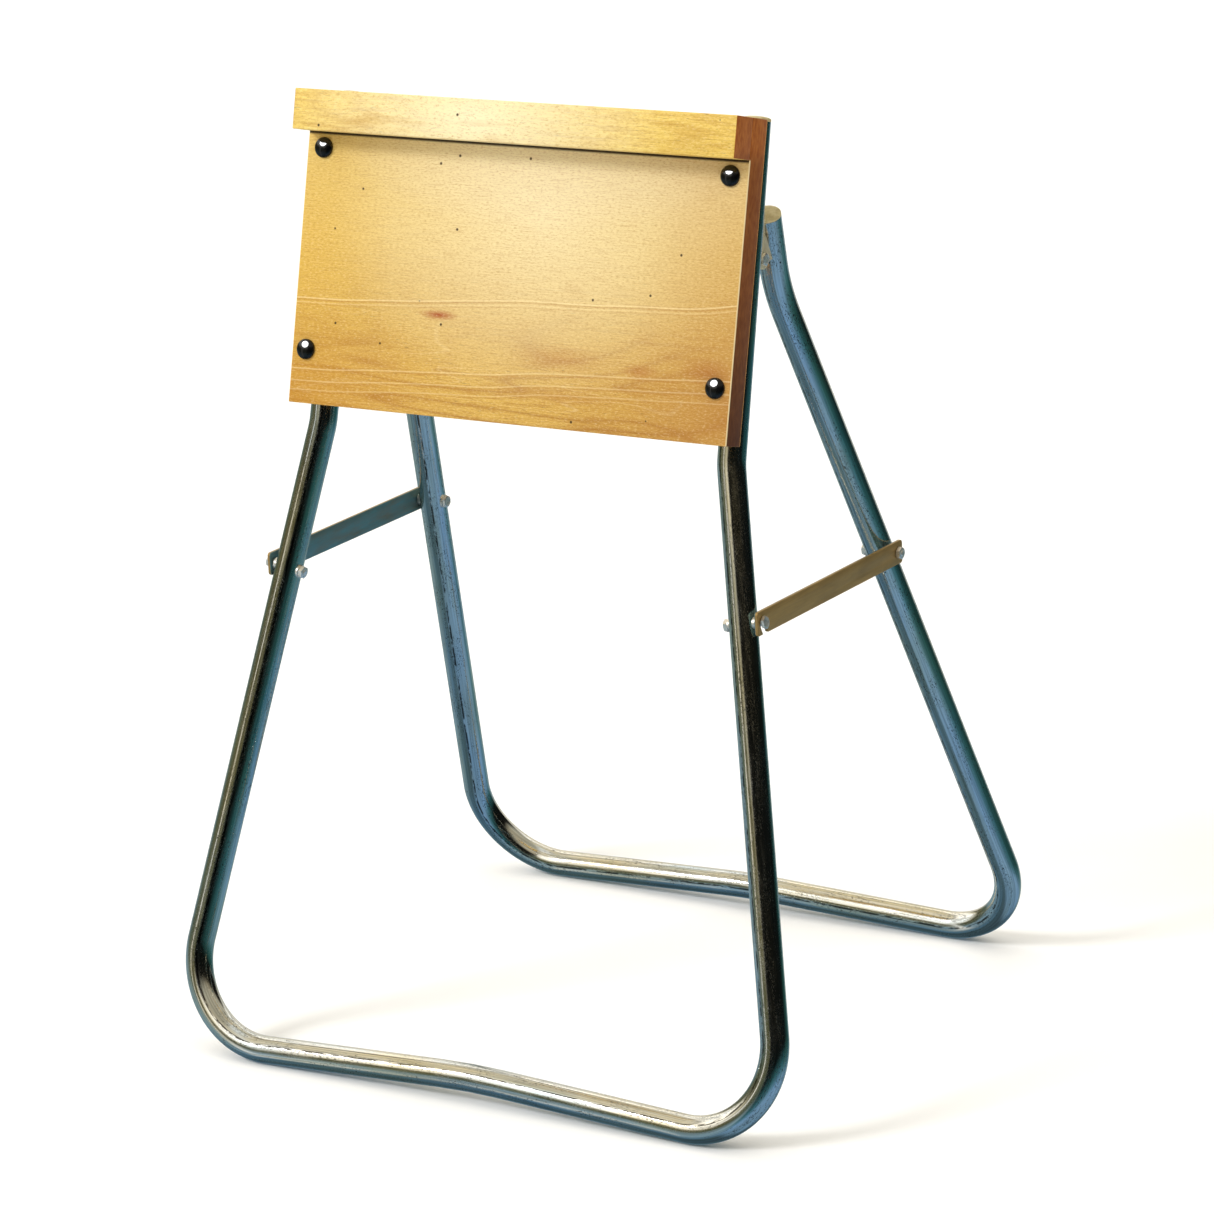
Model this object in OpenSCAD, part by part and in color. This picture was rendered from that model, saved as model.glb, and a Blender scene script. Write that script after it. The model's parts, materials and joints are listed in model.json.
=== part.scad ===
// Folding tubular trestle with a wooden transom board.
// Two bent tube frames meet at a pair of hinge pins near the top. The front frame carries the
// board, the rear frame swings on the pins, and a flat strut on each side holds the legs apart.
// The origin is on the floor at the middle of the footprint, the board faces -Y and +Z is up.

/* [Tube] */
// Outside diameter of both frame tubes
tube_d = 25; // [22:1:28]
// Wall thickness of the tube
tube_wall = 1.5; // [1.2:0.1:2]

/* [Fold] */
// Height of the hinge pins above the floor
hinge_h = 724; // [680:1:760]
// Backward lean of the front frame, in degrees
front_lean = 16.1; // [14:0.1:18]
// Forward lean of the rear frame, in degrees
rear_lean = 18.9; // [17:0.1:21]
// Distance from the hinge pins to the front tube's axis
front_reach = 22.5; // [22.3:0.1:24]
// Distance from the hinge pins to the rear tube's axis
rear_reach = 30.5; // [29:0.1:34]

/* [Front frame] */
// Half of the spacing of the legs' top ends
front_top_x = 206.5; // [205:0.5:212]
// Height of the tube's top ends above the hinge
front_top = 115.5; // [100:0.5:118]
// Half of the spacing of the legs at the bend where they start to flare
front_knee_x = 210.5; // [208:0.5:214]
// Drop from the hinge to that bend
front_knee = 176.5; // [170:1:182]
// Radius of that bend
front_knee_r = 83; // [70:1:100]
// Half of the spacing of the foot bends' centres
front_foot_x = 222.5; // [215:0.5:230]
// Radius of the foot bends
front_foot_r = 78; // [70:1:85]
// Height that the cross-run gains from the feet to its middle
front_rise = 9.6; // [5:0.1:14]
// Radius of the bend in the middle of the cross-run
front_mid_r = 690; // [500:10:900]

/* [Rear frame] */
// Half of the spacing of the legs' top ends
rear_top_x = 205.5; // [203:0.5:206]
// Height of the tube's top ends above the hinge
rear_top = 24; // [20:1:28]
// Half of the spacing of the legs at the waist, where they are closest
rear_waist_x = 197.5; // [195:0.5:200]
// Drop from the hinge to the waist
rear_knee = 50; // [46:1:56]
// Radius of the bend at the waist
rear_knee_r = 200; // [120:5:220]
// Half of the spacing of the foot bends' centres
rear_foot_x = 214.5; // [208:0.5:222]
// Radius of the foot bends
rear_foot_r = 76.5; // [70:0.5:85]
// Height that the cross-run gains from the feet to its middle
rear_rise = 9.4; // [5:0.1:14]
// Radius of the bend in the middle of the cross-run
rear_mid_r = 500; // [400:10:900]

/* [Board] */
// Width of the board and of the cleat
board_w = 449; // [440:1:460]
// Height of the board
board_h = 277; // [260:1:290]
// Thickness of the board
board_t = 25; // [22:1:28]
// Height of the board's top edge above the hinge, along the leg
board_top = 117; // [112:1:120]
// Height of the cleat
cleat_h = 36; // [32:1:40]
// Thickness of the cleat
cleat_t = 27; // [22:1:30]
// Distance from the board's top edge to the upper bolts
bolt_from_top = 50; // [46:1:60]
// Distance from the board's bottom edge to the lower bolts
bolt_from_bottom = 48; // [40:1:60]

/* [Board bolts] */
// Thread diameter of the carriage bolts
carriage_d = 6; // [6:1:8]
// Diameter of the domed head
carriage_head_d = 18.5; // [16:0.5:20]
// Height of the domed head
carriage_head_h = 5.2; // [4:0.1:5.5]

/* [Struts] */
// Drop from the hinge to the front strut bolts, along the front leg
front_strut_drop = 310; // [300:0.5:315]
// Drop from the hinge to the rear strut bolts, along the rear leg
rear_strut_drop = 325; // [315:0.5:330]
// Width of the flat bar
strut_w = 21; // [18:1:22]
// Thickness of the flat bar
strut_t = 3; // [3:0.5:4]
// Distance from each bolt to the bar's end
strut_end = 8; // [7.5:0.5:11]
// Radius of the bar's corners
strut_corner = 3; // [2:0.5:5]
// Thread diameter of the strut bolts and hinge bolts
bolt_d = 6; // [5:1:6]

/* [Hinge lugs] */
// Thickness of each lug
lug_t = 3; // [2.5:0.5:4]
// Radius of each lug's round end
lug_r = 9; // [8:0.5:9.5]
// Length of the rear lugs along the tube
lug_len = 30; // [26:1:36]
// Height of the front lugs above the hinge
lug_rise = 45; // [30:1:50]

/* [Hidden] */
$fn = 64;
tube_r = tube_d / 2;
bore_r = tube_r - tube_wall;
fold = front_lean + rear_lean;

// Clearances
bolt_gap = 0.2;          // round a bolt in a plain hole
pin_gap = 0.06;          // round a pin that something turns on
side_gap = 0.15;         // between flat faces that turn past each other
notch_gap = 0.9;         // round the slanting bolt that a strut hooks over
slant_gap = 1.2;         // between a strut and the slanting faces beside it
leg_gap = 0.5;           // between a strut and the flared front leg beside it
strut_gap = 0.3;         // between a strut and the faces it turns against
fit_gap = 0.05;          // round a plug, a screw or a square neck
seam = 0.1;              // how much slimmer a straight is than the bends it runs into
lap = 0.5;               // how far a straight runs into a bend
over = 1;                // how far a cutter runs past the face it cuts

// Drops from the hinge to the lowest point of each tube's axis
front_drop = (hinge_h + front_reach * sin(front_lean) - tube_r) / cos(front_lean);
rear_drop = (hinge_h + rear_reach * sin(rear_lean) - tube_r) / cos(rear_lean);
// Distance of the hinge pins behind the middle of the footprint
front_span = front_reach * cos(front_lean) + front_drop * sin(front_lean);
rear_span = rear_reach * cos(rear_lean) + rear_drop * sin(rear_lean);
hinge_y = (front_span - rear_span) / 2;

// Strut and hinge bolts, in proportion to their thread
bolt_r = bolt_d / 2;
hex_af = bolt_d * 5 / 3;
hex_head_h = bolt_d / 2;
nut_h = bolt_d * 2 / 3;
washer_r = bolt_d;
washer_t = 1.2;
thread_end = 0.8;        // how far a bolt stands out past its nut
saddle_t = 1;            // saddle washer, measured at the bolt
rear_spacer_t = 2;       // rear spacer, measured at the bolt

// Carriage bolts
carriage_r = carriage_d / 2;
carriage_nut_af = carriage_d * 5 / 3;
carriage_nut_h = 3.2;    // a thin nut
carriage_washer_r = carriage_d;
carriage_washer_t = 1;
carriage_neck = 4;       // length of the square neck under the head
carriage_end = 0.8;      // how far the bolt stands out past its nut

// Hinge, from the inside out: rear lug, washer, front lug
hinge_washer_t = 1;
lug_inset = 4.2;         // how far a front lug's outer face lies outside its leg's axis
front_lug_x = front_leg_x(0) + lug_inset - lug_t;
hinge_washer_x = front_lug_x - side_gap - hinge_washer_t;
rear_lug_x = hinge_washer_x - side_gap - lug_t;
lug_low = 9;             // drop of the front lugs' lower end
lug_shoulder = 6;        // how far the front lugs' upper end stands off the tube
lug_neck = 0.9;          // half the width a lug has where it meets its round end, in radii

// Plugs
plug_rim = 2;            // thickness of the rim that rests on the tube's end
plug_dome = 2.5;         // height of the dome above the rim
plug_depth = 16;         // length of the stem inside the tube

// Cleat screws
screw_r = 2;
screw_head_r = 4;
screw_len = 40;
screw_x = 150;           // distance of the outer screws from the middle one

STEEL = [0.56, 0.62, 0.62];
ZINC = [0.80, 0.80, 0.76];
STRUT_STEEL = [0.50, 0.46, 0.38];
BLACK = [0.07, 0.07, 0.08];
BOARD_WOOD = [0.86, 0.66, 0.34];
CLEAT_WOOD = [0.90, 0.73, 0.42];
CREAM = [0.88, 0.82, 0.66];

// ---- Placing ----

// The front frame's own plane: X across, Y up the leg from the hinge, Z out of the board
module front_plane()
    translate([0, hinge_y, hinge_h]) rotate([90 - front_lean, 0, 0])
        translate([0, 0, front_reach]) children();

// The rear frame's own plane: X across, Y up the leg from the hinge, Z towards the front
module rear_plane()
    translate([0, hinge_y, hinge_h]) rotate([90 + rear_lean, 0, 0])
        translate([0, 0, -rear_reach]) children();

// The side view from the right: X is back and Y is up from the hinge, Z is out to the right
module side_view(x) translate([x, hinge_y, hinge_h]) rotate([90, 0, 90]) children();

module left_side() mirror([1, 0, 0]) children();

module both_sides() {
    children();
    left_side() children();
}

// ---- Bent bars ----

function heading(v) = atan2(v.y, v.x);
function ray(a) = [cos(a), sin(a)];
function turned(v) = [-v.y, v.x];
// Point where the line from p with heading a meets the line from q with heading b
function meet(p, a, q, b) = p + ray(a) * cross(q - p, ray(b)) / cross(ray(a), ray(b));
// Heading of the tangent from p to the circle of radius r round c, on side 1 or -1
function tangent(p, c, r, side) = heading(c - p) + side * asin(r / norm(c - p));

// Half of a frame's path: top end, knee, foot and the middle of the cross-run
function half_path(top_x, top, knee_x, knee, foot_x, foot_r, drop, rise) =
    let (
        k = [knee_x, -knee],
        c = [foot_x, foot_r - drop],
        m = [0, rise - drop],
        foot = meet(k, tangent(k, c, foot_r, 1), m, tangent(m, c, foot_r, -1))
    )
    [[top_x, top], k, foot, m];

function whole_path(half) =
    concat(half, [for (i = [len(half) - 2 : -1 : 0]) [-half[i].x, half[i].y]]);

function bend_angle(a, b, c) = acos((b - a) * (c - b) / norm(b - a) / norm(c - b));
// Length of straight bar that the bend at b takes up on each side
function setback(a, b, c, r) = r * tan(bend_angle(a, b, c) / 2);

module straight(a, b, from, to, r)
    translate(a) rotate([0, 0, heading(b - a)]) rotate([0, 90, 0])
        translate([0, 0, from]) cylinder(r = r, h = norm(b - a) - from - to);

module bend(a, b, c, bend_r, r) {
    turn = sign(cross(b - a, c - b));
    h = heading(b - a);
    start = b - ray(h) * setback(a, b, c, bend_r);
    sweep = bend_angle(a, b, c);
    translate(start + turn * bend_r * turned(ray(h)))
        rotate([0, 0, turn > 0 ? h - 90 : h + 90 - sweep])
            rotate_extrude(angle = sweep) translate([bend_r, 0]) circle(r = r);
}

// A round bar of radius r along the points p, with a bend of radius bends[i] at point i
module bent_bar(p, bends, r) {
    last = len(p) - 1;
    for (i = [0 : last - 1]) {
        from = i == 0 ? 0 : setback(p[i - 1], p[i], p[i + 1], bends[i]) - lap;
        to = i == last - 1 ? 0 : setback(p[i], p[i + 1], p[i + 2], bends[i + 1]) - lap;
        straight(p[i], p[i + 1], from, to, r - seam);
    }
    for (i = [1 : last - 1]) bend(p[i - 1], p[i], p[i + 1], bends[i], r);
}

front_leg = half_path(
    front_top_x, front_top, front_knee_x, front_knee,
    front_foot_x, front_foot_r, front_drop, front_rise
);
rear_leg = half_path(
    rear_top_x, rear_top, rear_waist_x, rear_knee,
    rear_foot_x, rear_foot_r, rear_drop, rear_rise
);
// Distance of a front leg's axis from the middle, at a height above the hinge over the knee
function front_leg_x(y) =
    front_top_x + (front_knee_x - front_top_x) * (front_top - y) / (front_top + front_knee);
front_bends = [0, front_knee_r, front_foot_r, front_mid_r, front_foot_r, front_knee_r, 0];
rear_bends = [0, rear_knee_r, rear_foot_r, rear_mid_r, rear_foot_r, rear_knee_r, 0];

// Angle by which a leg flares from upright below its knee
function flare(half) = 90 + heading(half[2] - half[1]);
// Distance of a leg's axis from the middle, at a drop from the hinge below the knee
function leg_x(half, drop) = half[1].x + (drop + half[1].y) * tan(flare(half));

// Half of a frame's path with its top end run out past the tube's
function run_out(half) =
    let (way = (half[0] - half[1]) / norm(half[0] - half[1]))
    [half[0] + over * way, half[1], half[2], half[3]];

front_bolt_x = leg_x(front_leg, front_strut_drop);
rear_bolt_x = leg_x(rear_leg, rear_strut_drop);
// Distance from a rear leg's axis to its surface, measured along X
rear_skin = tube_r / cos(flare(rear_leg));
strut_x = rear_bolt_x + rear_skin + rear_spacer_t + strut_gap;
// The front bolts stand square to their legs, so they slant up to the middle of the strut
front_bolt_slant = flare(front_leg);
front_skin = tube_r / cos(front_bolt_slant);
// The strut's inner face at the front bolt, just clear of the leg that flares out below it
front_strut_x = front_bolt_x + front_skin + strut_w / 2 * tan(front_bolt_slant) + leg_gap;
front_bolt_rise = (front_strut_x + strut_t / 2 - front_bolt_x) * tan(front_bolt_slant);

// ---- Struts, in the side view ----

// Points at a drop down each leg: on its axis, or for the front leg a distance behind it
function front_side(drop, behind = 0) =
    [(behind - front_reach) * cos(front_lean) - drop * sin(front_lean),
     (front_reach - behind) * sin(front_lean) - drop * cos(front_lean)];
function rear_side(drop) =
    [rear_reach * cos(rear_lean) + drop * sin(rear_lean),
     rear_reach * sin(rear_lean) - drop * cos(rear_lean)];
front_bolt = front_side(front_strut_drop - front_bolt_rise);
rear_bolt = rear_side(rear_strut_drop);
strut_line = front_bolt - rear_bolt;
strut_len = norm(strut_line);
// Angle by which the struts run inwards to the front
strut_toe = atan((strut_x - front_strut_x) / strut_len);
// While the legs fold together, the strut swings up until it lies along the rear leg
strut_swing = (heading(strut_line) + 360) % 360 - (90 + rear_lean);
swing_ratio = strut_swing / fold;
// The way the front bolt starts to move past the strut, and so the way its notch opens
notch_line = turned(strut_line) * (1 + swing_ratio) + turned(rear_bolt);

// ---- Fasteners, drawn along Z ----

// A hexagon of the given width across its flats
module hex(af, h) cylinder(d = af * 2 / sqrt(3), h = h, $fn = 6);

module ring(outer, inner, h) difference() {
    cylinder(r = outer, h = h);
    translate([0, 0, -over]) cylinder(r = inner, h = h + 2 * over);
}

module nut(af, thread_r, h) difference() {
    hex(af, h);
    translate([0, 0, -over]) cylinder(r = thread_r, h = h + 2 * over);
}

// A round cap of radius r and height h on the plane z = 0
module cap(r, h) {
    ball = (r * r + h * h) / (2 * h);
    intersection() {
        translate([0, 0, h - ball]) sphere(r = ball, $fn = 96);
        cylinder(r = r, h = h);
    }
}

// ---- Front frame ----

// Places a shape at each board bolt, with Z out of the board and zero on the tube's axis
module at_board_bolts()
    both_sides() front_plane()
        for (y = [board_top - bolt_from_top, board_top - board_h + bolt_from_bottom])
            translate([front_leg_x(y), y, 0]) children();

// Places a shape at a strut bolt, with Z out to the side and zero on the tube's axis
module at_front_bolt()
    front_plane() translate([front_bolt_x, -front_strut_drop, 0])
        rotate([0, 0, front_bolt_slant]) rotate([0, 90, 0]) children();

module at_rear_bolt() side_view(rear_bolt_x) translate(rear_bolt) children();

module lateral_hole() translate([0, 0, -tube_d]) cylinder(r = bolt_r + bolt_gap, h = 2 * tube_d);

// The solid outline of the two flared legs, to cut saddles with
module leg_core(half) both_sides() straight(half[1], half[2], 0, 0, tube_r);

// The solid outline of the two upright legs, to cut lugs with
module top_core(half) both_sides() straight(half[0], half[1], 0, 0, tube_r);

module front_tube() color(STEEL) difference() {
    front_plane() bent_bar(whole_path(front_leg), front_bends, tube_r);
    front_plane() bent_bar(whole_path(run_out(front_leg)), front_bends, bore_r);
    at_board_bolts() translate([0, 0, -tube_d]) cylinder(r = carriage_r + bolt_gap, h = 2 * tube_d);
    both_sides() at_front_bolt() lateral_hole();
}

// A plank in the front plane, with its top edge level with the board's
module plank(h, from, t)
    translate([-board_w / 2, board_top - h, tube_r + from]) cube([board_w, h, t]);

module cleat_screw(gap) {
    cylinder(r1 = screw_head_r + gap, r2 = screw_r + gap, h = screw_head_r - screw_r);
    cylinder(r = screw_r + gap, h = screw_len + gap);
}

module all_cleat_screws(gap)
    front_plane() for (x = [-screw_x, 0, screw_x])
        translate([x, board_top - cleat_h / 2, tube_r]) cleat_screw(gap);

module square_neck(gap) {
    side = carriage_d + 2 * gap;
    translate([-side / 2, -side / 2, tube_r + board_t - carriage_neck - gap])
        cube([side, side, carriage_neck + gap]);
}

module transom_board() color(BOARD_WOOD) difference() {
    front_plane() plank(board_h, 0, board_t);
    at_board_bolts() cylinder(r = carriage_r + bolt_gap, h = tube_r + board_t + over);
    at_board_bolts() square_neck(fit_gap);
    all_cleat_screws(fit_gap);
}

module top_cleat() color(CLEAT_WOOD) difference() {
    front_plane() plank(cleat_h, board_t, cleat_t);
    all_cleat_screws(fit_gap);
}

module carriage_bolts() color(BLACK) at_board_bolts() {
    tail = tube_r + carriage_washer_t + carriage_nut_h + carriage_end;
    translate([0, 0, -tail]) cylinder(r = carriage_r, h = tail + tube_r + board_t);
    square_neck(0);
    translate([0, 0, tube_r + board_t]) cap(carriage_head_d / 2, carriage_head_h);
}

module carriage_washers() color(ZINC) at_board_bolts()
    translate([0, 0, -tube_r - carriage_washer_t])
        ring(carriage_washer_r, carriage_r + bolt_gap, carriage_washer_t);

module carriage_nuts() color(ZINC) at_board_bolts()
    translate([0, 0, -tube_r - carriage_washer_t - carriage_nut_h])
        nut(carriage_nut_af, carriage_r, carriage_nut_h);

module cleat_screws() color(ZINC) all_cleat_screws(0);

// A plug in the top end of a frame's leg, drawn in the frame's plane
module plug(half)
    translate(half[0]) rotate([0, 0, heading(half[0] - half[1])]) rotate([0, 90, 0]) {
        translate([0, 0, -plug_depth]) cylinder(r = bore_r - seam - fit_gap, h = plug_depth);
        cylinder(r = tube_r, h = plug_rim);
        translate([0, 0, plug_rim]) cap(tube_r, plug_dome);
    }

module front_right_plug() color(CREAM) front_plane() plug(front_leg);
module front_left_plug() color(CREAM) left_side() front_plane() plug(front_leg);

// A flat ear round the hinge pin, with its other corners at the side-view points given
module lug(x, corners) side_view(x) difference() {
    tip = ray(heading(corners[1] - corners[0])) * lug_r * lug_neck;
    union() {
        cylinder(r = lug_r, h = lug_t);
        linear_extrude(lug_t) polygon(concat(corners, [tip, -tip]));
    }
    translate([0, 0, -over]) cylinder(r = bolt_r + pin_gap, h = lug_t + 2 * over);
}

module front_lug() difference() {
    lug(front_lug_x, [
        front_side(lug_low), front_side(-lug_rise),
        front_side(-lug_rise, tube_r), front_side(lug_shoulder - lug_rise, tube_r + lug_shoulder)
    ]);
    front_plane() top_core(front_leg);
}

module front_right_lug() color(STEEL) front_lug();
module front_left_lug() color(STEEL) left_side() front_lug();

// Inner faces of what the hinge bolt clamps
hinge_nut_x = rear_lug_x - side_gap - washer_t - nut_h;

module hinge_bolt() side_view(hinge_nut_x - thread_end) {
    shank = front_lug_x + lug_t - hinge_nut_x + thread_end;
    cylinder(r = bolt_r, h = shank);
    translate([0, 0, shank]) hex(hex_af, hex_head_h);
}

module right_hinge_bolt() color(ZINC) hinge_bolt();
module left_hinge_bolt() color(ZINC) left_side() hinge_bolt();

module hinge_nut() side_view(hinge_nut_x) nut(hex_af, bolt_r, nut_h);

module right_hinge_nut() color(ZINC) hinge_nut();
module left_hinge_nut() color(ZINC) left_side() hinge_nut();

module hinge_washers() color(ZINC) both_sides() {
    side_view(hinge_washer_x) ring(washer_r, bolt_r + bolt_gap, hinge_washer_t);
    side_view(hinge_nut_x + nut_h) ring(washer_r, bolt_r + bolt_gap, washer_t);
}

// A sleeve on a strut bolt, from the leg's skin out to reach, drawn about the leg's axis
module spacer(reach) difference() {
    cylinder(r = washer_r, h = reach);
    translate([0, 0, -over]) cylinder(r = bolt_r + bolt_gap, h = reach + 2 * over);
}

// Distance along the slanting front bolt from the leg's axis to a plane at x
function along_bolt(x) = (x - front_bolt_x) / cos(front_bolt_slant);

module front_spacer() difference() {
    at_front_bolt() spacer(along_bolt(front_strut_x) - slant_gap);
    front_plane() leg_core(front_leg);
}

module front_right_spacer() color(ZINC) front_spacer();
module front_left_spacer() color(ZINC) left_side() front_spacer();

// A saddle washer inside the leg
module saddle(skin) mirror([0, 0, 1]) spacer(skin + saddle_t);

module front_saddles() color(ZINC) difference() {
    both_sides() at_front_bolt() saddle(tube_r);
    front_plane() leg_core(front_leg);
}

module front_strut_nuts() color(ZINC) both_sides() at_front_bolt()
    translate([0, 0, -tube_r - saddle_t - nut_h]) nut(hex_af, bolt_r, nut_h);

// The front bolts have their heads outside the struts and their nuts inside the legs
module front_strut_bolt() at_front_bolt() {
    tail = tube_r + saddle_t + nut_h + thread_end;
    head = along_bolt(front_strut_x + strut_t) + slant_gap;
    translate([0, 0, -tail]) cylinder(r = bolt_r, h = tail + head);
    translate([0, 0, head]) hex(hex_af, hex_head_h);
}

module front_right_strut_bolt() color(ZINC) front_strut_bolt();
module front_left_strut_bolt() color(ZINC) left_side() front_strut_bolt();

// ---- Rear frame ----

module rear_tube() color(STEEL) difference() {
    rear_plane() bent_bar(whole_path(rear_leg), rear_bends, tube_r);
    rear_plane() bent_bar(whole_path(run_out(rear_leg)), rear_bends, bore_r);
    both_sides() at_rear_bolt() lateral_hole();
}

module rear_right_plug() color(CREAM) rear_plane() plug(rear_leg);
module rear_left_plug() color(CREAM) left_side() rear_plane() plug(rear_leg);

module rear_lug() difference() {
    lug(rear_lug_x, [rear_side(lug_len / 2), rear_side(-lug_len / 2)]);
    rear_plane() top_core(rear_leg);
}

module rear_right_lug() color(STEEL) rear_lug();
module rear_left_lug() color(STEEL) left_side() rear_lug();

module rear_spacer() difference() {
    at_rear_bolt() spacer(rear_skin + rear_spacer_t);
    rear_plane() leg_core(rear_leg);
}

module rear_right_spacer() color(ZINC) rear_spacer();
module rear_left_spacer() color(ZINC) left_side() rear_spacer();

module rear_saddles() color(ZINC) difference() {
    both_sides() at_rear_bolt() saddle(rear_skin);
    rear_plane() leg_core(rear_leg);
}

// Inner face of the rear strut nut, from the leg's axis
rear_nut_face = strut_x + strut_t + strut_gap - rear_bolt_x;

module rear_strut_nuts() color(ZINC) both_sides() at_rear_bolt()
    translate([0, 0, rear_nut_face]) nut(hex_af, bolt_r, nut_h);

// The rear bolts have their heads inside the legs and their nuts outside the struts
module rear_strut_bolt() at_rear_bolt() {
    head = rear_skin + saddle_t;
    translate([0, 0, -head]) cylinder(r = bolt_r, h = head + rear_nut_face + nut_h + thread_end);
    translate([0, 0, -head - hex_head_h]) hex(hex_af, hex_head_h);
}

module rear_right_strut_bolt() color(ZINC) rear_strut_bolt();
module rear_left_strut_bolt() color(ZINC) left_side() rear_strut_bolt();

// ---- Struts ----

// A flat bar with rounded corners, from x = -strut_end to strut_len + strut_end
module flat_bar() {
    full = strut_len + 2 * strut_end;
    translate([-strut_end, -strut_w / 2 + strut_corner, 0])
        cube([full, strut_w - 2 * strut_corner, strut_t]);
    translate([-strut_end + strut_corner, -strut_w / 2, 0])
        cube([full - 2 * strut_corner, strut_w, strut_t]);
    for (x = [strut_corner - strut_end, strut_len + strut_end - strut_corner])
        for (y = [-1, 1])
            translate([x, y * (strut_w / 2 - strut_corner), 0])
                cylinder(r = strut_corner, h = strut_t);
}

// The notch that hooks over the front bolt: open below, and closed at the bolt
module notch() {
    half_w = bolt_r + notch_gap;
    translate([0, 0, -over]) cylinder(r = half_w, h = strut_t + 2 * over);
    translate([0, -half_w, -over]) cube([strut_w, 2 * half_w, strut_t + 2 * over]);
}

module strut() side_view(strut_x) difference() {
    translate(rear_bolt) rotate([0, 0, heading(strut_line)]) rotate([0, strut_toe, 0])
        flat_bar();
    translate([rear_bolt.x, rear_bolt.y, -over])
        cylinder(r = bolt_r + pin_gap, h = strut_t + 2 * over);
    translate([front_bolt.x, front_bolt.y, front_strut_x - strut_x])
        rotate([0, 0, heading(notch_line)]) notch();
}

module right_strut() color(STRUT_STEEL) strut();
module left_strut() color(STRUT_STEEL) left_side() strut();

front_tube();
transom_board();
top_cleat();
carriage_bolts();
carriage_washers();
carriage_nuts();
cleat_screws();
front_left_plug();
front_right_plug();
front_left_lug();
front_right_lug();
left_hinge_bolt();
right_hinge_bolt();
left_hinge_nut();
right_hinge_nut();
hinge_washers();
front_left_strut_bolt();
front_right_strut_bolt();
front_left_spacer();
front_right_spacer();
front_saddles();
front_strut_nuts();
rear_tube();
rear_left_plug();
rear_right_plug();
rear_left_lug();
rear_right_lug();
rear_left_strut_bolt();
rear_right_strut_bolt();
rear_left_spacer();
rear_right_spacer();
rear_saddles();
rear_strut_nuts();
left_strut();
right_strut();
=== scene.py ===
"""The looks of a folding tubular trestle with a wooden transom board.

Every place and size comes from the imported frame, or from the driving dimensions below, which
repeat those of the CAD source. Lengths are in metres, apart from those of the two bent tubes. Each
mesh carries an attribute, LOCAL, that holds its points in the piece's own axes, and the materials
read it.
"""

import json
import math

import bmesh
import bpy
from mathutils import Matrix, Vector


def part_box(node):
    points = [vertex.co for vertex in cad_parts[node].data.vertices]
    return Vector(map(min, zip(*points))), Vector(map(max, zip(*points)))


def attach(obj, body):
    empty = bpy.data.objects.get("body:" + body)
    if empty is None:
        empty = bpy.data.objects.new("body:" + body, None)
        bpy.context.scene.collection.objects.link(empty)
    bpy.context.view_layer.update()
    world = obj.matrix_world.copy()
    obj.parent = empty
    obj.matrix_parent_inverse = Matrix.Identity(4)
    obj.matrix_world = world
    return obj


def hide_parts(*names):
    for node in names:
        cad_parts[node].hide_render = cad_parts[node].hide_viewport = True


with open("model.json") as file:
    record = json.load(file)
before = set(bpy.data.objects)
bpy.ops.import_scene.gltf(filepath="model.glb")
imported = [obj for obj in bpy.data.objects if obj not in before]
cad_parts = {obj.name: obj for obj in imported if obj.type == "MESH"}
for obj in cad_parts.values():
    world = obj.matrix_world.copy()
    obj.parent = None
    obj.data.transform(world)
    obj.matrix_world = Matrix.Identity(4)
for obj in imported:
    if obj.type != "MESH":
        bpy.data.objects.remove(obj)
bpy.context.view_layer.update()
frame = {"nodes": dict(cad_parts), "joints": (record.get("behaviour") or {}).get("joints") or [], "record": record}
record = frame["record"]
joints = {j["name"]: j for j in frame["joints"]}
MM = 0.001
LOCAL = "local"

# ---- Driving dimensions, as in the CAD source ----

# Struts of flat bar, and M6 fasteners
STRUT_W, STRUT_T = 21 * MM, 3 * MM
BOLT_R, BOLT_PITCH, HEX_AF, HEAD_H = 3 * MM, 1 * MM, 10 * MM, 3 * MM

# The two bent tubes, in millimetres. Each lies in a plane that stands "reach" off the hinge. Half
# of its axis runs from its top, that far out and above the hinge, to the knee below the hinge,
# round the foot bend, whose centre is foot_x out, and to the middle of the cross-run, which stands
# "rise" above the lowest points. The rest are the radii of the bends
TUBE_D, TUBE_WALL = 25, 1.5
FRONT = {
    "reach": 22.5, "top_x": 206.5, "top": 115.5, "knee_x": 210.5, "knee": 176.5, "knee_r": 83,
    "foot_x": 222.5, "foot_r": 78, "rise": 9.6, "mid_r": 690,
}
REAR = {
    "reach": 30.5, "top_x": 205.5, "top": 24, "knee_x": 197.5, "knee": 50, "knee_r": 200,
    "foot_x": 214.5, "foot_r": 76.5, "rise": 9.4, "mid_r": 500,
}
REAR_LEAN = math.radians(18.9)

# ---- Where things are, from the frame ----

PIVOT = Vector(joints["rear_frame_fold"]["pos_m"])
board_up = Vector(next(m for m in record["mounts"] if m["name"] == "transom_top")["axis"])
FRONT_LEAN = math.atan2(board_up.y, board_up.z)
TUBE_R = TUBE_D / 2 * MM


def axes(origin, x, y):
    """The matrix of a frame at origin whose X and Y point along x and y."""
    x, y = Vector(x).normalized(), Vector(y).normalized()
    m = Matrix((x, y, x.cross(y))).transposed().to_4x4()
    m.translation = origin
    return m


# Each tube's own plane: X across, Y up the leg from the hinge, Z towards the front
front_up = Vector((0, math.sin(FRONT_LEAN), math.cos(FRONT_LEAN)))
rear_up = Vector((0, -math.sin(REAR_LEAN), math.cos(REAR_LEAN)))
front_out, rear_out = Vector((1, 0, 0)).cross(front_up), Vector((1, 0, 0)).cross(rear_up)
FRONT_PLANE = axes(PIVOT + FRONT["reach"] * MM * front_out, (1, 0, 0), front_up)
REAR_PLANE = axes(PIVOT - REAR["reach"] * MM * rear_out, (1, 0, 0), rear_up)


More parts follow.
